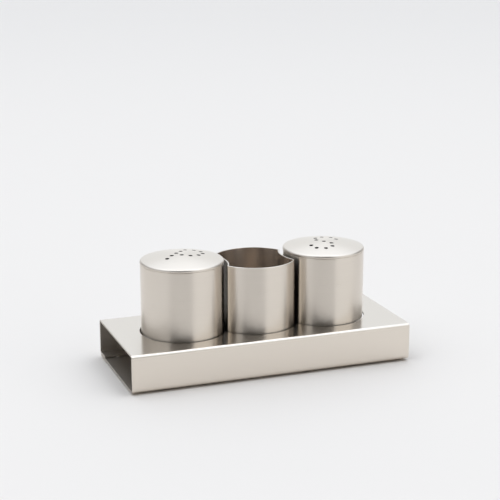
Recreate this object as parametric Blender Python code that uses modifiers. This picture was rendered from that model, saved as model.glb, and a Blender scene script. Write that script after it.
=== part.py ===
"""Table set: a pepper shaker, a salt shaker and an open pick cup standing in a folded steel sleeve.

Metres, +Z up. The origin is on the table, under the middle of the sleeve. +X runs along the row,
from the pepper shaker to the salt shaker, and -Y is the front.
"""

import math

import bmesh
import bpy
from mathutils import Matrix

MM = 0.001

# Row of three round pieces
AIR = 0.3 * MM  # between pieces that rest on or slide in each other
PITCH = 39.0 * MM  # axis to axis along the row
SEGMENTS = 56  # facets of every round piece

# Sleeve, folded from one sheet that laps over itself under the back edge
SLEEVE_LENGTH = 150.0 * MM
SLEEVE_DEPTH = 63.4 * MM
SLEEVE_HEIGHT = 19.7 * MM
SHEET = 1.0 * MM
FOLD_RADIUS = 1.6 * MM  # outside of a fold
FRONT_FOLD_RADIUS = 2.4 * MM  # outside of the softer fold under the front face
FOLD_STEPS = 5
LAP_WIDTH = 9.6 * MM
LAP_AIR = 0.15 * MM
TACK_RADIUS = 0.7 * MM
TACK_SPACING = 68.0 * MM
OPENING_RADIUS = 22.1 * MM  # of the three circles that make the opening in the top

# Foot pads under the corners
PAD_RADIUS = 4.0 * MM
PAD_HEIGHT = 0.6 * MM
PAD_INSET = 9.0 * MM  # from the sleeve's outline to a pad's axis

# Shaker body, deep drawn
BODY_RADIUS = 21.3 * MM
BODY_WALL = 0.7 * MM
BODY_CORNER = 2.0 * MM  # outside of the rounded foot

# Shaker cap, pressed, with a skirt that drops into the body
CAP_RADIUS = 21.45 * MM
CAP_WIDEST = 56.1 * MM  # heights of the cap are above the sleeve's underside
CAP_TOP = 59.8 * MM
CAP_LIP = 0.2 * MM  # straight edge below the widest point
CAP_EDGE_RADIUS = 1.2 * MM
CAP_WALL = 0.8 * MM
SKIRT_DEPTH = 6.0 * MM
RING_WALL = 0.6 * MM
RIB_HEIGHT = 0.3 * MM

# Holes of the two caps
HOLE_RADIUS = 0.95 * MM
P_PITCH = 4.9 * MM
P_CENTRE = (-2.0 * MM, 3.0 * MM)
P_UP = math.radians(45.5)
S_RADIUS = 5.7 * MM
S_STEP = math.radians(50.0)
S_CENTRE = (0.0, -0.8 * MM)
S_UP = math.radians(57.5)

# Pick cup, whose sides are hollowed to nest round the shakers
CUP_RADIUS = 21.4 * MM
CUP_HOLLOW_RADIUS = 23.2 * MM  # about the neighbouring shaker's axis
CUP_WALL = 0.8 * MM
CUP_RIM = 54.5 * MM  # above the sleeve's underside

# Heights above the table
UNDERSIDE = PAD_HEIGHT + AIR
SLEEVE_TOP = UNDERSIDE + SLEEVE_HEIGHT
STANDING = UNDERSIDE + SHEET + AIR  # undersides of the shakers and of the cup
LIP_EDGE = UNDERSIDE + CAP_WIDEST - CAP_LIP
BODY_RIM = LIP_EDGE - AIR

# Radii of the nested cap pieces
RING_OUTSIDE = BODY_RADIUS - BODY_WALL - AIR
RING_INSIDE = RING_OUTSIDE - RING_WALL
SKIRT_OUTSIDE = RING_INSIDE - AIR

PEPPER = (-PITCH, 0.0, 0.0)
SALT = (PITCH, 0.0, 0.0)


def clear_scene():
    for obj in list(bpy.data.objects):
        bpy.data.objects.remove(obj, do_unlink=True)


def new_collection(name):
    collection = bpy.data.collections.new(name)
    bpy.context.scene.collection.children.link(collection)
    return collection


def new_material(name, colour, roughness, metallic):
    material = bpy.data.materials.new(name)
    material.use_nodes = True
    shader = material.node_tree.nodes["Principled BSDF"]
    shader.inputs["Base Color"].default_value = (*colour, 1.0)
    shader.inputs["Roughness"].default_value = roughness
    shader.inputs["Metallic"].default_value = metallic
    return material


def object_from(bm, name, collection, material=None):
    mesh = bpy.data.meshes.new(name)
    bm.to_mesh(mesh)
    bm.free()
    obj = bpy.data.objects.new(name, mesh)
    if material:
        mesh.materials.append(material)
    collection.objects.link(obj)
    return obj


def arc(centre, radius, start, end, steps):
    """Points along a circular arc, both ends included, with the angles in degrees."""
    points = []
    for step in range(steps + 1):
        angle = math.radians(start + (end - start) * step / steps)
        points.append((centre[0] + radius * math.cos(angle), centre[1] + radius * math.sin(angle)))
    return points


def outline(points, closed):
    """A bmesh that holds the points as one chain of edges."""
    bm = bmesh.new()
    verts = [bm.verts.new(point) for point in points]
    for first, second in zip(verts, verts[1:]):
        bm.edges.new((first, second))
    if closed:
        bm.edges.new((verts[-1], verts[0]))
    return bm


def extrude(bm, offset):
    """Draws the edges of bm out along offset into open walls."""
    drawn = bmesh.ops.extrude_edge_only(bm, edges=bm.edges[:])
    verts = [item for item in drawn["geom"] if isinstance(item, bmesh.types.BMVert)]
    bmesh.ops.translate(bm, verts=verts, vec=offset)


def shade_smooth(obj):
    obj.data.shade_smooth()
    obj.data.set_sharp_from_angle(angle=math.radians(30))


def turned(name, profile, collection, material, location):
    """A solid of revolution about Z: profile holds (radius, height) and runs down its outer side."""
    bm = outline([(radius, 0.0, height) for radius, height in profile], closed=profile[0][0] > 0)
    obj = object_from(bm, name, collection, material)
    obj.location = location
    screw = obj.modifiers.new("Turn", "SCREW")
    screw.steps = SEGMENTS
    screw.render_steps = SEGMENTS
    screw.use_merge_vertices = True
    screw.merge_threshold = 0.01 * MM
    screw.use_smooth_shade = True
    return obj


def cut(obj, cutter, name):
    cutter.hide_render = True
    cutter.display_type = "WIRE"
    boolean = obj.modifiers.new(name, "BOOLEAN")
    boolean.operation = "DIFFERENCE"
    boolean.solver = "EXACT"
    boolean.object = cutter


def pins(name, centres, radius, low, high, segments, collection):
    """Upright cylinders at the given plan positions, as one cutter."""
    bm = bmesh.new()
    for x, y in centres:
        bmesh.ops.create_cone(
            bm,
            cap_ends=True,
            segments=segments,
            radius1=radius,
            radius2=radius,
            depth=high - low,
            matrix=Matrix.Translation((x, y, (low + high) / 2)),
        )
    return object_from(bm, name, collection)


def sleeve_path():
    """The sleeve's outer face in the YZ plane, from the lapped edge round to the floor sheet's edge."""
    side = SLEEVE_DEPTH / 2
    bend = side - FOLD_RADIUS
    lap = UNDERSIDE + SHEET + LAP_AIR
    path = [(side - LAP_WIDTH, lap)]
    path += arc((bend, lap + FOLD_RADIUS), FOLD_RADIUS, -90, 0, FOLD_STEPS)
    path += arc((bend, SLEEVE_TOP - FOLD_RADIUS), FOLD_RADIUS, 0, 90, FOLD_STEPS)
    path += arc((-bend, SLEEVE_TOP - FOLD_RADIUS), FOLD_RADIUS, 90, 180, FOLD_STEPS)
    front = (FRONT_FOLD_RADIUS - side, UNDERSIDE + FRONT_FOLD_RADIUS)
    path += arc(front, FRONT_FOLD_RADIUS, 180, 270, FOLD_STEPS)
    path.append((bend, UNDERSIDE))
    return path


def make_sleeve(collection, cutters, material):
    left = -SLEEVE_LENGTH / 2
    bm = outline([(left, y, z) for y, z in sleeve_path()], closed=False)
    extrude(bm, (SLEEVE_LENGTH, 0.0, 0.0))
    obj = object_from(bm, "base_sleeve", collection, material)
    fold = obj.modifiers.new("Sheet", "SOLIDIFY")
    fold.thickness = SHEET
    fold.offset = 1.0
    fold.use_even_offset = True

    # Tack welds along the lapped edge
    bm = bmesh.new()
    for side in (-1, 0, 1):
        place = (side * TACK_SPACING, SLEEVE_DEPTH / 2 - LAP_WIDTH, UNDERSIDE + SHEET + 0.2 * MM)
        matrix = Matrix.Translation(place)
        bmesh.ops.create_uvsphere(bm, u_segments=12, v_segments=8, radius=TACK_RADIUS, matrix=matrix)
    tacks = object_from(bm, "tack_welds", cutters)
    tacks.hide_render = True
    tacks.display_type = "WIRE"
    weld = obj.modifiers.new("Tack welds", "BOOLEAN")
    weld.operation = "UNION"
    weld.solver = "EXACT"
    weld.object = tacks

    for name, x in (("pepper", -PITCH), ("cup", 0.0), ("salt", PITCH)):
        low = SLEEVE_TOP - 5 * SHEET
        high = SLEEVE_TOP + 5 * SHEET
        cutter = pins(name + "_opening", [(x, 0.0)], OPENING_RADIUS, low, high, SEGMENTS, cutters)
        cut(obj, cutter, name + " opening")
    shade_smooth(obj)
    return obj


def make_pads(collection, material):
    along = SLEEVE_LENGTH / 2 - PAD_INSET
    across = SLEEVE_DEPTH / 2 - PAD_INSET
    corners = {
        "front_left": (-along, -across),
        "front_right": (along, -across),
        "rear_left": (-along, across),
        "rear_right": (along, across),
    }
    for corner, (x, y) in corners.items():
        bpy.ops.mesh.primitive_cylinder_add(
            vertices=32, radius=PAD_RADIUS, depth=PAD_HEIGHT, location=(x, y, PAD_HEIGHT / 2)
        )
        pad = bpy.context.object
        pad.name = "foot_pad_" + corner
        pad.data.materials.append(material)
        for other in list(pad.users_collection):
            other.objects.unlink(pad)
        collection.objects.link(pad)
        shade_smooth(pad)


def make_body(name, place, collection, material):
    inside = BODY_RADIUS - BODY_WALL
    foot = (BODY_RADIUS - BODY_CORNER, STANDING + BODY_CORNER)
    profile = [(0.0, STANDING + BODY_WALL)]
    profile += arc(foot, BODY_CORNER - BODY_WALL, 270, 360, 3)
    profile += [(inside, BODY_RIM), (BODY_RADIUS, BODY_RIM)]
    profile += arc(foot, BODY_CORNER, 360, 270, 4)
    profile.append((0.0, STANDING))
    return turned(name, profile, collection, material, place)


def dome_radius():
    """Radius of the dome that touches the rounded edge from above and peaks at the cap's top."""
    edge_centre = CAP_RADIUS - CAP_EDGE_RADIUS
    rise = CAP_TOP - CAP_WIDEST
    return (edge_centre**2 + rise**2 - CAP_EDGE_RADIUS**2) / (2 * (rise - CAP_EDGE_RADIUS))


def make_cap(name, place, holes, collection, cutters, material):
    edge = (CAP_RADIUS - CAP_EDGE_RADIUS, UNDERSIDE + CAP_WIDEST)
    radius = dome_radius()
    centre = (0.0, UNDERSIDE + CAP_TOP - radius)
    meets = math.degrees(math.atan2(edge[1] - centre[1], edge[0]))
    skirt_inside = SKIRT_OUTSIDE - CAP_WALL
    under = radius - CAP_WALL
    skirt_meets = math.degrees(math.acos(skirt_inside / under))

    profile = arc(centre, radius, 90, meets, 5)
    profile += arc(edge, CAP_EDGE_RADIUS, meets, 0, 5)[1:]
    profile += [(CAP_RADIUS, LIP_EDGE), (SKIRT_OUTSIDE, LIP_EDGE)]
    profile += [(SKIRT_OUTSIDE, LIP_EDGE - SKIRT_DEPTH), (skirt_inside, LIP_EDGE - SKIRT_DEPTH)]
    profile += arc(centre, under, skirt_meets, 90, 5)
    profile[0] = (0.0, profile[0][1])
    profile[-1] = (0.0, profile[-1][1])
    cap = turned(name, profile, collection, material, place)

    low = LIP_EDGE
    high = UNDERSIDE + CAP_TOP + 2 * CAP_WALL
    drill = pins(name + "_holes", holes, HOLE_RADIUS, low, high, 12, cutters)
    drill.location = place
    cut(cap, drill, "Holes")
    return cap


def make_grip_ring(name, place, collection, material):
    top = BODY_RIM - AIR
    bottom = LIP_EDGE - SKIRT_DEPTH + AIR
    core = RING_OUTSIDE - RIB_HEIGHT
    profile = [(RING_INSIDE, top), (core, top)]
    for share in (0.7, 0.3):
        height = bottom + share * (top - bottom)
        profile.append((core, height + 2 * RIB_HEIGHT))
        profile.append((RING_OUTSIDE, height + RIB_HEIGHT))
        profile.append((RING_OUTSIDE, height - RIB_HEIGHT))
        profile.append((core, height - 2 * RIB_HEIGHT))
    profile += [(core, bottom), (RING_INSIDE, bottom)]
    return turned(name, profile, collection, material, place)


def turn_letter(points, up, centre):
    """Turns letter points, given as (right, up), so that the letter's up lies at the angle up from +X."""
    placed = []
    for right, height in points:
        x = centre[0] + height * math.cos(up) + right * math.sin(up)
        y = centre[1] + height * math.sin(up) - right * math.cos(up)
        placed.append((x, y))
    return placed


def letter_p():
    """A stem of five holes, and a bowl of six on the circle through the stem's top and middle holes."""
    points = [(0.0, P_PITCH * step) for step in range(-2, 3)]
    bowl = P_PITCH * math.sqrt(2)
    for step in range(1, 7):
        angle = math.radians(135 - 270 / 7 * step)
        points.append((P_PITCH + bowl * math.cos(angle), P_PITCH + bowl * math.sin(angle)))
    return turn_letter(points, P_UP, P_CENTRE)


def letter_s():
    """Eleven holes along two circles that touch in the letter's middle, half a turn apart."""
    points = [(0.0, 0.0)]
    for step in range(1, 6):
        angle = -math.pi / 2 - S_STEP * step
        x = S_RADIUS * math.cos(angle)
        y = S_RADIUS + S_RADIUS * math.sin(angle)
        points += [(x, y), (-x, -y)]
    return turn_letter(points, S_UP, S_CENTRE)


def cup_outline(inset, steps):
    """The cup's plan, counter-clockwise: front and back arcs of one circle, sides hollowed about PITCH."""
    round_radius = CUP_RADIUS - inset
    hollow_radius = CUP_HOLLOW_RADIUS + inset
    corner = (PITCH**2 + round_radius**2 - hollow_radius**2) / (2 * PITCH)
    ends = math.degrees(math.acos(corner / round_radius))
    turn = math.degrees(math.acos((PITCH - corner) / hollow_radius))
    points = arc((0.0, 0.0), round_radius, ends, 180 - ends, steps)
    points += arc((-PITCH, 0.0), hollow_radius, turn, -turn, steps // 2)[1:]
    points += arc((0.0, 0.0), round_radius, 180 + ends, 360 - ends, steps)[1:]
    points += arc((PITCH, 0.0), hollow_radius, 180 + turn, 180 - turn, steps // 2)[1:-1]
    return points


def make_cup(collection, wall_material, floor_material):
    bm = outline([(x, y, STANDING) for x, y in cup_outline(0.0, 20)], closed=True)
    extrude(bm, (0.0, 0.0, UNDERSIDE + CUP_RIM - STANDING))
    wall = object_from(bm, "pick_cup_wall", collection, wall_material)
    sheet = wall.modifiers.new("Sheet", "SOLIDIFY")
    sheet.thickness = CUP_WALL
    sheet.offset = 1.0
    sheet.use_even_offset = True
    shade_smooth(wall)

    bm = outline([(x, y, STANDING) for x, y in cup_outline(CUP_WALL + AIR, 20)], closed=True)
    bmesh.ops.contextual_create(bm, geom=bm.edges[:])
    floor = object_from(bm, "pick_cup_floor", collection, floor_material)
    plate = floor.modifiers.new("Plate", "SOLIDIFY")
    plate.thickness = CUP_WALL
    plate.offset = -1.0
    return wall, floor


def main():
    clear_scene()
    parts = new_collection("salt_and_pepper_set")
    cutters = new_collection("cutters")

    brushed = new_material("brushed_steel", (0.60, 0.57, 0.54), 0.28, 1.0)
    drawn = new_material("drawn_steel", (0.58, 0.55, 0.52), 0.25, 1.0)
    satin = new_material("satin_steel", (0.66, 0.65, 0.63), 0.32, 1.0)
    plastic = new_material("grip_plastic", (0.80, 0.80, 0.78), 0.45, 0.0)
    rubber = new_material("pad_rubber", (0.03, 0.03, 0.03), 0.80, 0.0)

    make_sleeve(parts, cutters, brushed)
    make_pads(parts, rubber)
    for name, place, holes in (("pepper", PEPPER, letter_p()), ("salt", SALT, letter_s())):
        make_body(name + "_body", place, parts, drawn)
        make_cap(name + "_cap", place, holes, parts, cutters, satin)
        make_grip_ring(name + "_grip_ring", place, parts, plastic)
    make_cup(parts, drawn, brushed)


main()
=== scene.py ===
"""Looks of the salt and pepper set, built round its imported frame.

Metres, +Z up, the origin on the table under the middle of the sleeve, -Y the front. Every piece
stands where its CAD node does and is a finer version of it: rounded edges, real sheet folds, caps
pierced by punched holes, and brushed steel.
"""

import math

import bmesh
import bpy
from mathutils import Matrix, Vector
from mathutils.geometry import delaunay_2d_cdt


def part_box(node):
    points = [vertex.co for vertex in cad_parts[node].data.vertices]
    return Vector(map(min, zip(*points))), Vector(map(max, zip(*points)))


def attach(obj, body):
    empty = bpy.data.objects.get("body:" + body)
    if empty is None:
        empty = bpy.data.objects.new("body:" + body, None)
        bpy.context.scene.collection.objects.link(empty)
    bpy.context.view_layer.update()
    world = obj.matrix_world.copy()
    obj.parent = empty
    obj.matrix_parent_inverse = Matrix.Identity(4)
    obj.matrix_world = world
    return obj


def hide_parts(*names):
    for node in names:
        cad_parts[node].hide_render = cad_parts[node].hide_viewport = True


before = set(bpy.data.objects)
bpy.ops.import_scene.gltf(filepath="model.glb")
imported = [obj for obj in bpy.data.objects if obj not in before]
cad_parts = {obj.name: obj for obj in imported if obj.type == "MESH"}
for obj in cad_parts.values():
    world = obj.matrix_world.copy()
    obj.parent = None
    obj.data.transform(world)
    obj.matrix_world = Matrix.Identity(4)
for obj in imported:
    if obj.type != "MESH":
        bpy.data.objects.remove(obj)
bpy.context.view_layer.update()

MM = 0.001
AIR = 0.3 * MM  # the frame's gap between pieces that rest on each other
TURNS = 160  # facets of a turned piece
CUT_EDGE = 0.15 * MM  # rounding of a sheared sheet's edge

# Sleeve, from its CAD node's box and the sheet that it is folded from
SLEEVE_LOW, SLEEVE_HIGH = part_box("base_sleeve")
SHEET = 1.0 * MM
FOLD_RADIUS = 1.6 * MM
FRONT_FOLD_RADIUS = 2.4 * MM  # of the softer fold under the front face
LAP_WIDTH = 9.6 * MM
LAP_AIR = 0.15 * MM
TACK_SPACING = 68.0 * MM
TACK_SIZE = (0.8 * MM, 0.6 * MM, 0.5 * MM)  # half lengths and height of a bead
OPENING_RADIUS = 22.1 * MM
OPENING_EDGE = 0.12 * MM

# Shaker bodies and caps
BODY_LOW, BODY_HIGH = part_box("pepper_body")
PITCH = -(BODY_LOW.x + BODY_HIGH.x) / 2
BODY_RADIUS = (BODY_HIGH.y - BODY_LOW.y) / 2
BODY_WALL = 0.7 * MM
BODY_CORNER = 2.0 * MM
BODY_RIM_EDGE = 0.3 * MM
CAP_LOW, CAP_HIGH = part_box("pepper_cap")
CAP_RADIUS = (CAP_HIGH.y - CAP_LOW.y) / 2
CAP_EDGE_RADIUS = 1.2 * MM
CAP_RISE = 3.7 * MM  # of the dome, above the cap's widest circle
CAP_WALL = 0.8 * MM
SEAM = 0.06 * MM  # the hairline between a cap's lip and its body
LIP_EDGE = BODY_HIGH.z + SEAM
RING_LOW, RING_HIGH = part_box("pepper_grip_ring")
RING_OUTSIDE = (RING_HIGH.y - RING_LOW.y) / 2
RING_INSIDE = RING_OUTSIDE - 0.6 * MM
SKIRT_OUTSIDE = RING_INSIDE - AIR
PEPPER = (-PITCH, 0.0)
SALT = (PITCH, 0.0)

# Holes of the two caps
HOLE_RADIUS = 0.95 * MM
HOLE_EDGE = 0.15 * MM
P_PITCH = 4.9 * MM
P_CENTRE = (-2.0 * MM, 3.0 * MM)
P_UP = math.radians(45.5)
S_RADIUS = 5.7 * MM
S_STEP = math.radians(50.0)
S_CENTRE = (0.0, -0.8 * MM)
S_UP = math.radians(57.5)

# Pick cup
CUP_LOW, CUP_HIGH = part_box("pick_cup_wall")
CUP_RADIUS = (CUP_HIGH.y - CUP_LOW.y) / 2
CUP_HOLLOW_RADIUS = 23.2 * MM
CUP_WALL = 0.8 * MM
CUP_CORNER = 0.9 * MM  # outside of the four upright corners
CUP_RIM_EDGE = 0.25 * MM

# Camera
LENS = 96.54
SENSOR = 36.0
CAMERA_PLACE = (-0.23455, -0.62767, 0.23631)
CAMERA_AZIMUTH = math.radians(20.32)
CAMERA_PITCH = math.radians(14.8)

# Studio
FLOOR_COLOUR = (0.87, 0.825, 0.775)
FLOOR_RADII = (6.0, 2.0, 0.7, 0.25)
WALLS = (0.32, 0.32, 0.32)
WINDOW = (0.82, 0.81, 0.79)
WINDOW_TURN = math.radians(62)  # of the window, to the right of the camera
BACKDROP = (0.92, 0.96, 1.00)
TENT = (1.27, 1.36, 1.49)
SLOT = (0.03, 0.028, 0.026)
SOFTBOX_POWER = 5.0
SOFTBOX_SIDE = 1.8
SOFTBOX_HEIGHT = 1.8


# ---------------------------------------------------------------- meshes

def arc(centre, radius, start, end, steps):
    """Points along a circular arc, both ends included, with the angles in degrees."""
    points = []
    for step in range(steps + 1):
        angle = math.radians(start + (end - start) * step / steps)
        points.append((centre[0] + radius * math.cos(angle), centre[1] + radius * math.sin(angle)))
    return points


def object_from(bm, name, material, smooth_angle=35):
    bmesh.ops.recalc_face_normals(bm, faces=bm.faces[:])
    mesh = bpy.data.meshes.new(name)
    bm.to_mesh(mesh)
    bm.free()
    mesh.materials.append(material)
    mesh.shade_smooth()
    mesh.set_sharp_from_angle(angle=math.radians(smooth_angle))
    obj = bpy.data.objects.new(name, mesh)
    bpy.context.scene.collection.objects.link(obj)
    return obj


def bridge(bm, first, second):
    """Quads between two closed rings of as many verts each."""
    for index in range(len(first)):
        after = (index + 1) % len(first)
        bm.faces.new((first[index], first[after], second[after], second[index]))


def circle(radius, height, steps=TURNS):
    points = []
    for step in range(steps):
        angle = 2 * math.pi * step / steps
        points.append((radius * math.cos(angle), radius * math.sin(angle), height))
    return points


def loft(bm, rings, first=None, last=None):
    """Walls through closed rings of points. first and last are rings of verts that are there already."""
    loops = [[bm.verts.new(point) for point in ring] for ring in rings]
    if first:
        loops.insert(0, first)
    if last:
        loops.append(last)
    for one, other in zip(loops, loops[1:]):
        bridge(bm, one, other)
    return loops


def fan(bm, loop, height):
    """Closes a ring of verts with triangles to a point on the axis."""
    tip = bm.verts.new((0.0, 0.0, height))
    for index, vert in enumerate(loop):
        bm.faces.new((vert, loop[(index + 1) % len(loop)], tip))


def weight_normals(obj):
    """Keeps wide flat faces flat where a small rounding joins them."""
    weighted = obj.modifiers.new("Flat faces", "WEIGHTED_NORMAL")
    weighted.weight = 100
    weighted.keep_sharp = True


def turned_ring(name, profile, material):
    """A ring of revolution from a closed profile of (radius, height)."""
    bm = bmesh.new()
    loops = [[bm.verts.new(point) for point in circle(*place)] for place in profile]
    for one, other in zip(loops, loops[1:] + loops[:1]):
        bridge(bm, one, other)
    return object_from(bm, name, material)


def turned_solid(name, profile, top, bottom, material):
    """A solid of revolution: profile runs from near the axis on top round to near it underneath."""
    bm = bmesh.new()
    loops = loft(bm, [circle(*place) for place in profile])
    fan(bm, loops[0], top)
    fan(bm, loops[-1], bottom)
    obj = object_from(bm, name, material)
    weight_normals(obj)
    return obj


# ---------------------------------------------------------------- materials

def link(tree, source, target):
    tree.links.new(source, target)


def streak_noise(tree, coordinates, scale, detail, place):
    """Noise drawn out into brush lines: scale is features per metre along each axis."""
    mapping = tree.nodes.new("ShaderNodeMapping")
    mapping.inputs["Scale"].default_value = scale
    mapping.inputs["Location"].default_value = place
    link(tree, coordinates, mapping.inputs["Vector"])
    noise = tree.nodes.new("ShaderNodeTexNoise")
    noise.inputs["Scale"].default_value = 1.0
    noise.inputs["Detail"].default_value = detail
    noise.inputs["Roughness"].default_value = 0.6
    link(tree, mapping.outputs["Vector"], noise.inputs["Vector"])
    return noise.outputs["Fac"]


def mapped(tree, value, low, high, start=0.3, end=0.7):
    node = tree.nodes.new("ShaderNodeMapRange")
    node.inputs["From Min"].default_value = start
    node.inputs["From Max"].default_value = end
    node.inputs["To Min"].default_value = low
    node.inputs["To Max"].default_value = high
    link(tree, value, node.inputs["Value"])
    return node.outputs["Result"]


def average(tree, first, second, share):
    node = tree.nodes.new("ShaderNodeMix")
    node.inputs["Factor"].default_value = share
    link(tree, first, node.inputs["A"])
    link(tree, second, node.inputs["B"])
    return node.outputs["Result"]


def polar_coordinates(tree, coordinates):
    """(x, y, distance from the axis), so that streaks fine in Z run in circles on a dome."""
    parts = tree.nodes.new("ShaderNodeSeparateXYZ")
    link(tree, coordinates, parts.inputs["Vector"])
    flat = tree.nodes.new("ShaderNodeCombineXYZ")
    link(tree, parts.outputs["X"], flat.inputs["X"])
    link(tree, parts.outputs["Y"], flat.inputs["Y"])
    length = tree.nodes.new("ShaderNodeVectorMath")
    length.operation = "LENGTH"
    link(tree, flat.outputs["Vector"], length.inputs[0])
    polar = tree.nodes.new("ShaderNodeCombineXYZ")
    link(tree, parts.outputs["X"], polar.inputs["X"])
    link(tree, parts.outputs["Y"], polar.inputs["Y"])
    link(tree, length.outputs["Value"], polar.inputs["Z"])
    return polar.outputs["Vector"]


def brushed_steel(name, tint, roughness, anisotropy, grain, axis, rotation, polar=False):
    """Stainless steel brushed in lines. grain is (fine, broad) streak scales per metre, each a triple."""
    material = bpy.data.materials.new(name)
    material.use_nodes = True
    tree = material.node_tree
    shader = tree.nodes["Principled BSDF"]
    shader.inputs["Metallic"].default_value = 1.0
    shader.inputs["Anisotropic"].default_value = anisotropy
    shader.inputs["Anisotropic Rotation"].default_value = rotation

    coordinates = tree.nodes.new("ShaderNodeTexCoord").outputs["Object"]
    if polar:
        coordinates = polar_coordinates(tree, coordinates)
    fine = streak_noise(tree, coordinates, grain[0], 3.0, (0.0, 0.0, 0.0))
    broad = streak_noise(tree, coordinates, grain[1], 2.0, (3.1, 1.7, 5.3))
    lines = average(tree, fine, broad, 0.2)

    link(tree, mapped(tree, lines, roughness * 0.94, roughness * 1.06), shader.inputs["Roughness"])

    colour = tree.nodes.new("ShaderNodeMix")
    colour.data_type = "RGBA"
    colour.inputs["A"].default_value = (*[channel * 0.98 for channel in tint], 1.0)
    colour.inputs["B"].default_value = (*[min(channel * 1.02, 1.0) for channel in tint], 1.0)
    link(tree, mapped(tree, lines, 0.0, 1.0), colour.inputs["Factor"])
    link(tree, colour.outputs["Result"], shader.inputs["Base Color"])

    bump = tree.nodes.new("ShaderNodeBump")
    bump.inputs["Strength"].default_value = 0.2
    bump.inputs["Distance"].default_value = 0.0005 * MM
    link(tree, lines, bump.inputs["Height"])
    link(tree, bump.outputs["Normal"], shader.inputs["Normal"])

    tangent = tree.nodes.new("ShaderNodeTangent")
    tangent.direction_type = "RADIAL"
    tangent.axis = axis
    link(tree, tangent.outputs["Tangent"], shader.inputs["Tangent"])
    return material


def speckled(name, dark, light, roughness, speckle, bump_height):
    """A moulded material, such as plastic or rubber, with a fine grain."""
    material = bpy.data.materials.new(name)
    material.use_nodes = True
    tree = material.node_tree
    shader = tree.nodes["Principled BSDF"]
    coordinates = tree.nodes.new("ShaderNodeTexCoord").outputs["Object"]
    grain = streak_noise(tree, coordinates, (speckle, speckle, speckle), 4.0, (0.0, 0.0, 0.0))
    colour = tree.nodes.new("ShaderNodeMix")
    colour.data_type = "RGBA"
    colour.inputs["A"].default_value = (*dark, 1.0)
    colour.inputs["B"].default_value = (*light, 1.0)
    link(tree, mapped(tree, grain, 0.0, 1.0), colour.inputs["Factor"])
    link(tree, colour.outputs["Result"], shader.inputs["Base Color"])
    link(tree, mapped(tree, grain, roughness - 0.06, roughness + 0.06), shader.inputs["Roughness"])
    bump = tree.nodes.new("ShaderNodeBump")
    bump.inputs["Strength"].default_value = 0.5
    bump.inputs["Distance"].default_value = bump_height
    link(tree, grain, bump.inputs["Height"])
    link(tree, bump.outputs["Normal"], shader.inputs["Normal"])
    return material


# ---------------------------------------------------------------- sleeve

def sheet_line(inset):
    """The sleeve's folded line in the YZ plane, inset into the sheet from its outer face."""
    side = SLEEVE_HIGH.y
    top = SLEEVE_HIGH.z
    bottom = SLEEVE_LOW.z
    bend = side - FOLD_RADIUS
    lap = bottom + SHEET + LAP_AIR
    radius = FOLD_RADIUS - inset
    line = arc((bend, lap + FOLD_RADIUS), radius, -90, 0, 8)
    line += arc((bend, top - FOLD_RADIUS), radius, 0, 90, 8)
    line += arc((-bend, top - FOLD_RADIUS), radius, 90, 180, 8)
    front = (FRONT_FOLD_RADIUS - side, bottom + FRONT_FOLD_RADIUS)
    line += arc(front, FRONT_FOLD_RADIUS - inset, 180, 270, 10)
    return line


def sheet_section(inset):
    """The sheet's closed outline in the YZ plane, inset all round, with rounded cut edges."""
    edge = CUT_EDGE - inset
    lap_edge = SLEEVE_HIGH.y - LAP_WIDTH + CUT_EDGE
    lap_low = SLEEVE_LOW.z + SHEET + LAP_AIR
    floor_edge = SLEEVE_HIGH.y - FOLD_RADIUS - CUT_EDGE
    section = arc((lap_edge, lap_low + SHEET - CUT_EDGE), edge, 90, 180, 3)
    section += arc((lap_edge, lap_low + CUT_EDGE), edge, 180, 270, 3)
    section += sheet_line(inset)
    section += arc((floor_edge, SLEEVE_LOW.z + CUT_EDGE), edge, 270, 360, 3)
    section += arc((floor_edge, SLEEVE_LOW.z + SHEET - CUT_EDGE), edge, 0, 90, 3)
    section += reversed(sheet_line(SHEET - inset))
    return section


def opening_cutter(x):
    """A cutter whose flared ends round the opening's upper and lower edges."""
    top = SLEEVE_HIGH.z
    under = top - SHEET
    wide = OPENING_RADIUS + OPENING_EDGE
    profile = [(wide, under - 3 * SHEET)]
    profile += arc((wide, under + OPENING_EDGE), OPENING_EDGE, 255, 180, 4)
    profile += arc((wide, top - OPENING_EDGE), OPENING_EDGE, 180, 105, 4)
    profile = [(max(radius, OPENING_RADIUS), height) for radius, height in profile]
    profile.append((profile[-1][0], top + 3 * SHEET))
    profile[0] = (profile[1][0], profile[0][1])
    bm = bmesh.new()
    loops = loft(bm, [circle(*place) for place in profile])
    fan(bm, loops[0], profile[0][1])
    fan(bm, loops[-1], profile[-1][1])
    bmesh.ops.translate(bm, verts=bm.verts[:], vec=(x, 0.0, 0.0))
    bmesh.ops.recalc_face_normals(bm, faces=bm.faces[:])
    mesh = bpy.data.meshes.new("opening_cutter")
    bm.to_mesh(mesh)
    bm.free()
    cutter = bpy.data.objects.new("opening_cutter", mesh)
    bpy.context.scene.collection.objects.link(cutter)
    return cutter


def apply_modifiers(obj):
    graph = bpy.context.evaluated_depsgraph_get()
    mesh = bpy.data.meshes.new_from_object(obj.evaluated_get(graph), depsgraph=graph)
    obj.modifiers.clear()
    obj.data = mesh


def face_inward(face):
    """Whether a face of the sleeve looks into its hollow."""
    inside_y = SLEEVE_HIGH.y - SHEET * 0.9
    top = SLEEVE_HIGH.z - SHEET * 0.9
    bottom = SLEEVE_LOW.z + SHEET * 0.9
    return abs(face.center.y) < inside_y and bottom < face.center.z < top


def face_of_opening(face):
    """Whether a face of the sleeve is part of the opening's sheared wall, which is given painted shade."""
    away = min(math.dist(face.center[:2], (x, 0.0)) for x in (-PITCH, 0.0, PITCH))
    upright = abs(face.normal.z) < 0.5 and face.center.z > SLEEVE_HIGH.z - SHEET
    return upright and away < OPENING_RADIUS + OPENING_EDGE


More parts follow.
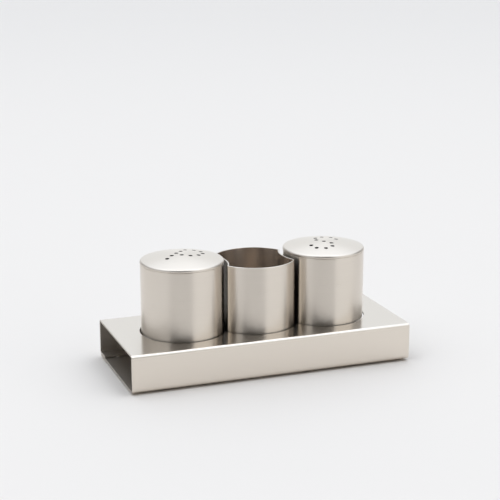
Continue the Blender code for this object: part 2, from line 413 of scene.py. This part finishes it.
def make_sleeve(material, inside_painted_material, opening_shade_material):
    left = SLEEVE_LOW.x
    right = SLEEVE_HIGH.x
    ends = []
    for turn in (0, 30, 60, 90):
        angle = math.radians(turn)
        ends.append((CUT_EDGE * (1 - math.sin(angle)), CUT_EDGE * (1 - math.cos(angle))))
    stations = [(left + along, inset) for inset, along in ends]
    stations += [(right - along, inset) for inset, along in reversed(ends)]
    bm = bmesh.new()
    rings = [[(x, y, z) for y, z in sheet_section(inset)] for x, inset in stations]
    loops = loft(bm, rings)
    bm.faces.new(loops[0])
    bm.faces.new(loops[-1])
    bmesh.ops.remove_doubles(bm, verts=bm.verts[:], dist=0.0005 * MM)
    sleeve = object_from(bm, "sleeve", material)

    cutters = [opening_cutter(x) for x in (-PITCH, 0.0, PITCH)]
    for cutter in cutters:
        boolean = sleeve.modifiers.new("Opening", "BOOLEAN")
        boolean.operation = "DIFFERENCE"
        boolean.solver = "EXACT"
        boolean.object = cutter
    apply_modifiers(sleeve)
    for cutter in cutters:
        bpy.data.objects.remove(cutter)
    sleeve.data.shade_smooth()
    sleeve.data.set_sharp_from_angle(angle=math.radians(35))
    weight_normals(sleeve)
    sleeve.data.materials.append(inside_painted_material)
    sleeve.data.materials.append(opening_shade_material)
    # Painted shade: the openings' sheared walls get a near-black tint for the dark gap round each body,
    # and the inward faces get the mill finish with a darker, shaded tint.
    for face in sleeve.data.polygons:
        if face_of_opening(face):
            face.material_index = 2
        elif face_inward(face):
            face.material_index = 1
    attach(sleeve, "base")
    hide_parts("base_sleeve")


def make_tacks(material):
    """Small weld beads that hold the lap's free edge to the floor sheet."""
    low = SLEEVE_LOW.z + SHEET
    for name, side in (("left", -1), ("middle", 0), ("right", 1)):
        profile = arc((0.0, 0.0), 1.0, 80, 0, 7)
        bm = bmesh.new()
        loops = loft(bm, [circle(radius, height, 24) for radius, height in profile])
        fan(bm, loops[0], 1.0)
        bm.faces.new(loops[-1])
        bmesh.ops.scale(bm, verts=bm.verts[:], vec=TACK_SIZE)
        for vert in bm.verts:
            vert.co.z += 0.04 * MM * math.sin(5 * vert.co.x / MM + 3 * side) * (vert.co.z > 0.1 * MM)
        tack = object_from(bm, "tack_weld_" + name, material)
        tack.location = (side * TACK_SPACING, SLEEVE_HIGH.y - LAP_WIDTH, low)
        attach(tack, "base")


def make_pads(material):
    for corner in ("front_left", "front_right", "rear_left", "rear_right"):
        node = "foot_pad_" + corner
        low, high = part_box(node)
        radius = (high.x - low.x) / 2
        height = high.z - low.z
        edge = height * 0.35
        profile = [(radius * 0.3, height), (radius * 0.7, height)]
        profile += arc((radius - edge, height - edge), edge, 90, 0, 4)
        profile += arc((radius - edge, edge), edge, 0, -90, 4)
        profile += [(radius * 0.7, 0.0), (radius * 0.62, 0.12 * MM), (radius * 0.2, 0.12 * MM)]
        pad = turned_solid("pad_" + corner, profile, height, 0.12 * MM, material)
        pad.location = ((low.x + high.x) / 2, (low.y + high.y) / 2, low.z)
        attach(pad, "base")
        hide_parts(node)


# ---------------------------------------------------------------- shakers

def make_body(name, place, material):
    inside = BODY_RADIUS - BODY_WALL
    bottom = BODY_LOW.z
    rim = BODY_HIGH.z
    foot = (BODY_RADIUS - BODY_CORNER, bottom + BODY_CORNER)
    floor = bottom + BODY_WALL
    profile = [(radius * MM, floor) for radius in (4, 12, 18)]
    profile += arc(foot, BODY_CORNER - BODY_WALL, 270, 360, 8)
    profile += [(inside, bottom + height * MM) for height in (10, 25, 40)]
    profile += arc((inside + BODY_RIM_EDGE, rim - BODY_RIM_EDGE), BODY_RIM_EDGE, 180, 90, 4)
    profile += arc((BODY_RADIUS - BODY_RIM_EDGE, rim - BODY_RIM_EDGE), BODY_RIM_EDGE, 90, 0, 4)
    profile += [(BODY_RADIUS, bottom + height * MM) for height in (40, 25, 10)]
    profile += arc(foot, BODY_CORNER, 360, 270, 10)
    profile += [(radius * MM, bottom) for radius in (18, 12, 4)]
    body = turned_solid(name + "_shell", profile, floor, bottom, material)
    body.location = (*place, 0.0)
    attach(body, name + "_shaker")
    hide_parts(name + "_body")


def dome_radius():
    """Radius of the dome that touches the cap's rounded edge and rises CAP_RISE above its centre."""
    edge_centre = CAP_RADIUS - CAP_EDGE_RADIUS
    return (edge_centre**2 + CAP_RISE**2 - CAP_EDGE_RADIUS**2) / (2 * (CAP_RISE - CAP_EDGE_RADIUS))


def ring_points(centre, radius, steps):
    return [(centre[0] + radius * math.cos(2 * math.pi * step / steps),
             centre[1] + radius * math.sin(2 * math.pi * step / steps)) for step in range(steps)]


def pierced_dome(bm, radius, centre, limit, holes, mouth):
    """A dome of triangles out to limit, open at each hole. Returns its rim and its holes' rings.

    Each hole has a second ring of points round it, so that the triangles beside it stay even.
    """
    hole_steps = 28
    rim = ring_points((0.0, 0.0), limit, TURNS)
    points = list(rim)
    for hole in holes:
        points += ring_points(hole, mouth, hole_steps)
    borders = []
    for index in range(len(holes)):
        start = TURNS + index * hole_steps
        borders += [(start + step, start + (step + 1) % hole_steps) for step in range(hole_steps)]
    support = mouth + 0.3 * MM
    for hole in holes:
        points += ring_points(hole, support, hole_steps)
    spacing = 0.9 * MM
    rows = int(limit / spacing)
    for row in range(rows):
        distance = limit * row / rows
        steps = TURNS // 2 if row > rows * 0.75 else max(1, round(2 * math.pi * distance / spacing))
        for point in ring_points((0.0, 0.0), distance, steps):
            if all(math.dist(point, hole) > support + 0.4 * spacing for hole in holes):
                points.append(point)
    flat = [Vector(point) for point in points]
    places, _, faces, origins, _, _ = delaunay_2d_cdt(flat, borders, [], 0, 1e-7)
    verts = []
    for x, y in places:
        verts.append(bm.verts.new((x, y, centre + math.sqrt(radius**2 - x**2 - y**2))))
    for face in faces:
        middle = sum((places[index] for index in face), Vector((0.0, 0.0))) / len(face)
        if all((middle - Vector(hole)).length > mouth * 0.985 for hole in holes):
            bm.faces.new([verts[index] for index in face])
    found = {}
    for index, inputs in enumerate(origins):
        for original in inputs:
            found[original] = verts[index]
    rings = []
    for index in range(len(holes)):
        start = TURNS + index * hole_steps
        rings.append([found[start + step] for step in range(hole_steps)])
    return [found[index] for index in range(TURNS)], rings


def make_cap(name, place, holes, material, hole_shade_material):
    radius = dome_radius()
    centre = CAP_HIGH.z - radius
    edge = (CAP_RADIUS - CAP_EDGE_RADIUS, CAP_HIGH.z - CAP_RISE)
    meets = math.degrees(math.atan2(edge[1] - centre, edge[0]))
    skirt_inside = SKIRT_OUTSIDE - CAP_WALL
    under = radius - CAP_WALL

    bm = bmesh.new()
    outer_rim, mouths = pierced_dome(
        bm, radius, centre, radius * math.cos(math.radians(meets)), holes, HOLE_RADIUS + HOLE_EDGE
    )
    inner_rim, burrs = pierced_dome(bm, under, centre, skirt_inside - CAP_WALL, holes, HOLE_RADIUS)
    for hole, mouth, burr in zip(holes, mouths, burrs):
        steps = len(mouth)
        height = mouth[0].co.z
        throat = []  # the rounded mouth, down to the straight sheared wall, all given painted shade for the dark inside the hole
        for inset, drop in arc((0.0, -HOLE_EDGE), HOLE_EDGE, 60, 0, 2):
            ring = ring_points(hole, HOLE_RADIUS + HOLE_EDGE - inset, steps)
            throat.append([(x, y, height + drop) for x, y in ring])
        before = set(bm.faces)
        loft(bm, throat, first=mouth, last=burr)
        for face in set(bm.faces) - before:
            face.material_index = 1

    profile = arc(edge, CAP_EDGE_RADIUS, meets, 0, 12)[1:]
    profile += arc((CAP_RADIUS - CUT_EDGE, LIP_EDGE + CUT_EDGE), CUT_EDGE, 0, -90, 3)
    profile += [(SKIRT_OUTSIDE + 0.4 * MM, LIP_EDGE), (SKIRT_OUTSIDE, LIP_EDGE - 0.4 * MM)]
    profile += [(SKIRT_OUTSIDE, CAP_LOW.z + CUT_EDGE), (SKIRT_OUTSIDE - CUT_EDGE, CAP_LOW.z)]
    profile += [(skirt_inside + CUT_EDGE, CAP_LOW.z), (skirt_inside, CAP_LOW.z + CUT_EDGE)]
    corner_height = centre + math.sqrt(under**2 - skirt_inside**2) - CAP_WALL
    profile += arc((skirt_inside - CAP_WALL, corner_height), CAP_WALL, 0, 60, 4)
    loft(bm, [circle(*point) for point in profile], first=outer_rim, last=inner_rim)
    cap = object_from(bm, name + "_dome", material)
    cap.data.materials.append(hole_shade_material)
    cap.location = (*place, 0.0)
    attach(cap, name + "_lid")
    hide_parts(name + "_cap")


def make_grip_ring(name, place, material):
    """The soft ring on a cap's skirt, with two rounded ribs that grip the body's bore."""
    top = RING_HIGH.z
    bottom = RING_LOW.z
    height = top - bottom
    rib = 0.3 * MM
    steps = 36
    outside = []
    for step in range(steps + 1):
        share = step / steps
        ribs = sum(math.exp(-(((share - middle) * height / (1.3 * rib)) ** 2)) for middle in (0.3, 0.7))
        outside.append((RING_OUTSIDE - rib + rib * min(ribs, 1.0), top - share * height))
    inside = [(RING_INSIDE, bottom), (RING_INSIDE, (top + bottom) / 2), (RING_INSIDE, top)]
    ring = turned_ring(name + "_ring", outside + inside, material)
    ring.location = (*place, 0.0)
    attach(ring, name + "_lid")
    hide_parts(name + "_grip_ring")


def turn_letter(points, up, centre):
    """Turns hole positions, given as (right, up), so that the letter's up lies at the angle up from +X."""
    placed = []
    for right, height in points:
        x = centre[0] + height * math.cos(up) + right * math.sin(up)
        y = centre[1] + height * math.sin(up) - right * math.cos(up)
        placed.append((x, y))
    return placed


def letter_p():
    """A stem of five holes, and a bowl of six on the circle through the stem's top and middle holes."""
    points = [(0.0, P_PITCH * step) for step in range(-2, 3)]
    bowl = P_PITCH * math.sqrt(2)
    for step in range(1, 7):
        angle = math.radians(135 - 270 / 7 * step)
        points.append((P_PITCH + bowl * math.cos(angle), P_PITCH + bowl * math.sin(angle)))
    return turn_letter(points, P_UP, P_CENTRE)


def letter_s():
    """Eleven holes along two circles that touch in the letter's middle, half a turn apart."""
    points = [(0.0, 0.0)]
    for step in range(1, 6):
        angle = -math.pi / 2 - S_STEP * step
        x = S_RADIUS * math.cos(angle)
        y = S_RADIUS + S_RADIUS * math.sin(angle)
        points += [(x, y), (-x, -y)]
    return turn_letter(points, S_UP, S_CENTRE)


# ---------------------------------------------------------------- pick cup

def cup_outline(inset):
    """The cup's plan, inset from its outer face: two round sides, two hollow ones, rounded corners."""
    round_radius = CUP_RADIUS - inset
    hollow_radius = CUP_HOLLOW_RADIUS + inset
    corner = max(CUP_CORNER - inset, 0.1 * MM)
    near = round_radius - corner
    far = hollow_radius + corner
    x = (PITCH**2 + near**2 - far**2) / (2 * PITCH)
    y = math.sqrt(near**2 - x**2)
    around = math.degrees(math.atan2(y, x))
    across = math.degrees(math.atan2(y, PITCH - x))
    outline = []
    for turn in (0, 180):
        points = arc((0.0, 0.0), round_radius, around, 180 - around, 48)
        points += arc((-x, y), corner, 180 - around, 180 + across, 6)[1:-1]
        points += arc((-PITCH, 0.0), hollow_radius, across, -across, 32)
        points += arc((-x, -y), corner, 180 - across, 180 + around, 6)[1:-1]
        sign = 1 if turn == 0 else -1
        outline += [(sign * px, sign * py) for px, py in points]
    return outline


def cup_side(face):
    """The material of one face of the cup's wall: 0 on its round sides and its rims, 1 on the hollow
    sides that face a shaker, which carry painted shade, 2 inside, which carries painted light."""
    across = math.hypot(face.center.x, face.center.y)
    beside = math.hypot(PITCH - abs(face.center.x), face.center.y)
    if abs(face.normal.z) > 0.4:
        return 0
    if beside < CUP_HOLLOW_RADIUS + 0.1 * MM:
        return 1
    if across < CUP_RADIUS - CUP_WALL * 0.7 and beside > CUP_HOLLOW_RADIUS + CUP_WALL * 0.7:
        return 2
    return 0


def make_cup(wall_material, hollow_shade_material, inside_painted_material, floor_painted_material):
    bottom = CUP_LOW.z
    rim = CUP_HIGH.z
    edge = CUP_RIM_EDGE
    profile = arc((edge, bottom + edge), edge, 270, 180, 4)
    profile += [(0.0, bottom + share * (rim - bottom)) for share in (0.2, 0.5, 0.8)]
    profile += arc((edge, rim - edge), edge, 180, 90, 4)
    profile += arc((CUP_WALL - edge, rim - edge), edge, 90, 0, 4)
    profile += [(CUP_WALL, bottom + share * (rim - bottom)) for share in (0.8, 0.5, 0.2)]
    profile += arc((CUP_WALL - edge, bottom + edge), edge, 0, -90, 4)
    bm = bmesh.new()
    rings = [[(x, y, height) for x, y in cup_outline(inset)] for inset, height in profile]
    loops = loft(bm, rings)
    bridge(bm, loops[-1], loops[0])
    wall = object_from(bm, "cup_wall", wall_material)
    wall.data.materials.append(hollow_shade_material)
    wall.data.materials.append(inside_painted_material)
    for face in wall.data.polygons:
        face.material_index = cup_side(face)
    weight_normals(wall)
    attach(wall, "pick_cup")
    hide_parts("pick_cup_wall")

    low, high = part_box("pick_cup_floor")
    inset = CUP_WALL + AIR
    profile = [(inset + edge, low.z), (inset, low.z + edge), (inset, high.z - edge)]
    profile += arc((inset + edge, high.z - edge), edge, 180, 90, 4)[1:]
    bm = bmesh.new()
    rings = [[(x, y, height) for x, y in cup_outline(depth)] for depth, height in profile]
    loops = loft(bm, rings)
    fan(bm, loops[0], low.z)
    fan(bm, loops[-1], high.z)
    floor = object_from(bm, "cup_floor", floor_painted_material)
    weight_normals(floor)
    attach(floor, "pick_cup")
    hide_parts("pick_cup_floor")


# ---------------------------------------------------------------- studio

def make_floor():
    bm = bmesh.new()
    loops = loft(bm, [circle(radius, 0.0, 96) for radius in FLOOR_RADII])
    bm.faces.new(loops[-1])
    material = bpy.data.materials.new("studio_floor")
    material.use_nodes = True
    shader = material.node_tree.nodes["Principled BSDF"]
    shader.inputs["Base Color"].default_value = (*FLOOR_COLOUR, 1.0)
    shader.inputs["Roughness"].default_value = 0.9
    shader.inputs["Specular IOR Level"].default_value = 0.1
    floor = object_from(bm, "studio_floor", material)


def smooth_share(tree, value, start, end):
    node = tree.nodes.new("ShaderNodeMapRange")
    node.interpolation_type = "SMOOTHSTEP"
    node.inputs["From Min"].default_value = start
    node.inputs["From Max"].default_value = end
    link(tree, value, node.inputs["Value"])
    return node.outputs["Result"]


def blend_colour(tree, share, first, second):
    """Mixes second into first by share. Each is a colour or a node's output."""
    node = tree.nodes.new("ShaderNodeMix")
    node.data_type = "RGBA"
    link(tree, share, node.inputs["Factor"])
    for colour, socket in ((first, node.inputs["A"]), (second, node.inputs["B"])):
        if isinstance(colour, tuple):
            socket.default_value = (*colour, 1.0)
        else:
            link(tree, colour, socket)
    return node.outputs["Result"]


def direction_share(tree, direction, towards, start, end):
    """0 to 1 as the cosine between direction and towards goes from start to end."""
    dot = tree.nodes.new("ShaderNodeVectorMath")
    dot.operation = "DOT_PRODUCT"
    link(tree, direction, dot.inputs[0])
    dot.inputs[1].default_value = Vector(towards).normalized()
    return smooth_share(tree, dot.outputs["Value"], start, end)


def make_room():
    """The room round the set: grey walls, a window on the right, a white backdrop, a bright tent
    overhead, and the dark slot that the camera looks through."""
    world = bpy.data.worlds.new("studio")
    bpy.context.scene.world = world
    world.use_nodes = True
    tree = world.node_tree
    direction = tree.nodes.new("ShaderNodeTexCoord").outputs["Generated"]
    level = tree.nodes.new("ShaderNodeVectorMath")
    level.operation = "MULTIPLY"
    link(tree, direction, level.inputs[0])
    level.inputs[1].default_value = (1.0, 1.0, 0.0)
    heading = tree.nodes.new("ShaderNodeVectorMath")
    heading.operation = "NORMALIZE"
    link(tree, level.outputs["Vector"], heading.inputs[0])
    heading = heading.outputs["Vector"]

    viewer = (-math.sin(CAMERA_AZIMUTH), -math.cos(CAMERA_AZIMUTH), 0.0)
    backdrop = (math.sin(CAMERA_AZIMUTH), math.cos(CAMERA_AZIMUTH), 0.0)
    window_turn = WINDOW_TURN - CAMERA_AZIMUTH
    window = (math.sin(window_turn), -math.cos(window_turn), 0.0)
    up = (0.0, 0.0, 1.0)
    colour = blend_colour(tree, direction_share(tree, heading, window, 0.80, 0.92), WALLS, WINDOW)
    colour = blend_colour(tree, direction_share(tree, heading, backdrop, 0.78, 0.96), colour, BACKDROP)
    colour = blend_colour(tree, direction_share(tree, direction, up, 0.40, 0.68), colour, TENT)
    slot = tree.nodes.new("ShaderNodeMath")
    slot.operation = "MULTIPLY"
    link(tree, direction_share(tree, heading, viewer, 0.80, 0.88), slot.inputs[0])
    link(tree, direction_share(tree, direction, up, 0.95, 0.85), slot.inputs[1])
    colour = blend_colour(tree, slot.outputs["Value"], colour, SLOT)
    link(tree, colour, tree.nodes["Background"].inputs["Color"])


def make_softbox():
    data = bpy.data.lights.new("softbox", "AREA")
    data.shape = "RECTANGLE"
    data.size = SOFTBOX_SIDE
    data.size_y = SOFTBOX_SIDE
    data.energy = SOFTBOX_POWER
    softbox = bpy.data.objects.new("softbox", data)
    softbox.location = (0.0, 0.0, SOFTBOX_HEIGHT)
    bpy.context.scene.collection.objects.link(softbox)


def make_camera():
    data = bpy.data.cameras.new("camera")
    data.lens = LENS
    data.sensor_width = SENSOR
    data.clip_start = 0.01
    data.clip_end = 50.0
    camera = bpy.data.objects.new("camera", data)
    bpy.context.scene.collection.objects.link(camera)
    camera.location = CAMERA_PLACE
    turn = Matrix.Rotation(-CAMERA_AZIMUTH, 4, "Z") @ Matrix.Rotation(math.pi / 2 - CAMERA_PITCH, 4, "X")
    camera.rotation_euler = turn.to_euler()
    bpy.context.scene.camera = camera


# ---------------------------------------------------------------- the set

STEEL = (0.77, 0.71, 0.635)
# painted light: lighter and warmer than STEEL, for the light bouncing round inside the cup
INNER_STEEL_AND_LIGHT = (0.85, 0.76, 0.67)
# painted shade: a dark tint on the cup's hollow sides, for the shaded gap beside each shaker
HOLLOW_SHADE = (0.17, 0.155, 0.135)
# the inner faces' mill finish is real; its tint, darker than the outside's, is painted shade inside the
# sleeve
MILL_TINT_AND_SHADE = (0.50, 0.46, 0.41)
LENGTHWISE = ((25, 9000, 9000), (12, 2500, 2500))
ROUND_ABOUT = ((30, 30, 9000), (15, 15, 2500))
MILLED = ((60, 2000, 2000), (25, 700, 700))
ALONG = 0.0
ACROSS = 0.25  # a quarter turn of the gloss's long axis from the tangent

sleeve_steel = brushed_steel("sleeve_brushed", STEEL, 0.21, 0.70, LENGTHWISE, "X", ALONG)
# mill finish on the sleeve's inner faces, darkened by painted shade
inside_mill_and_shade = brushed_steel("mill_finish_painted_shade", MILL_TINT_AND_SHADE, 0.46, 0.0, MILLED, "X", ALONG)
shell_steel = brushed_steel("shell_brushed", STEEL, 0.29, 0.91, ROUND_ABOUT, "Z", ACROSS)
dome_steel = brushed_steel("dome_brushed", STEEL, 0.38, 0.50, ROUND_ABOUT, "Z", ACROSS, polar=True)
# painted light on the cup's inside and floor: a lighter, warmer copy of the steel
inside_light_steel = brushed_steel("cup_inside_painted_light", INNER_STEEL_AND_LIGHT, 0.24, 0.80, ROUND_ABOUT, "Z", ACROSS)
# painted shade on the cup's hollow sides, for the dark gap between cup and shaker
hollow_painted_shade = brushed_steel("cup_hollow_painted_shade", HOLLOW_SHADE, 0.45, 0.30, ROUND_ABOUT, "Z", ACROSS)
# painted shade: near-black on the sheared walls of the cap holes and sleeve openings, for the dark inside
# them
sheared_wall_shade = speckled("sheared_wall_painted_shade", (0.04, 0.036, 0.03), (0.09, 0.08, 0.07), 0.55, 4000.0, 0.01 * MM)
weld_steel = speckled("weld_bead", (0.60, 0.56, 0.50), (0.75, 0.70, 0.64), 0.35, 2500.0, 0.02 * MM)
weld_steel.node_tree.nodes["Principled BSDF"].inputs["Metallic"].default_value = 1.0
grip_plastic = speckled("grip_plastic", (0.70, 0.70, 0.67), (0.80, 0.80, 0.77), 0.42, 900.0, 0.01 * MM)
pad_rubber = speckled("pad_rubber", (0.018, 0.018, 0.018), (0.04, 0.04, 0.04), 0.75, 1500.0, 0.03 * MM)

make_camera()
make_floor()
make_room()
make_softbox()
make_sleeve(sleeve_steel, inside_mill_and_shade, sheared_wall_shade)
make_tacks(weld_steel)
make_pads(pad_rubber)
for shaker, place, holes in (("pepper", PEPPER, letter_p()), ("salt", SALT, letter_s())):
    make_body(shaker, place, shell_steel)
    make_cap(shaker, place, holes, dome_steel, sheared_wall_shade)
    make_grip_ring(shaker, place, grip_plastic)
make_cup(shell_steel, hollow_painted_shade, inside_light_steel, inside_light_steel)

bpy.context.scene.view_settings.view_transform = "Standard"
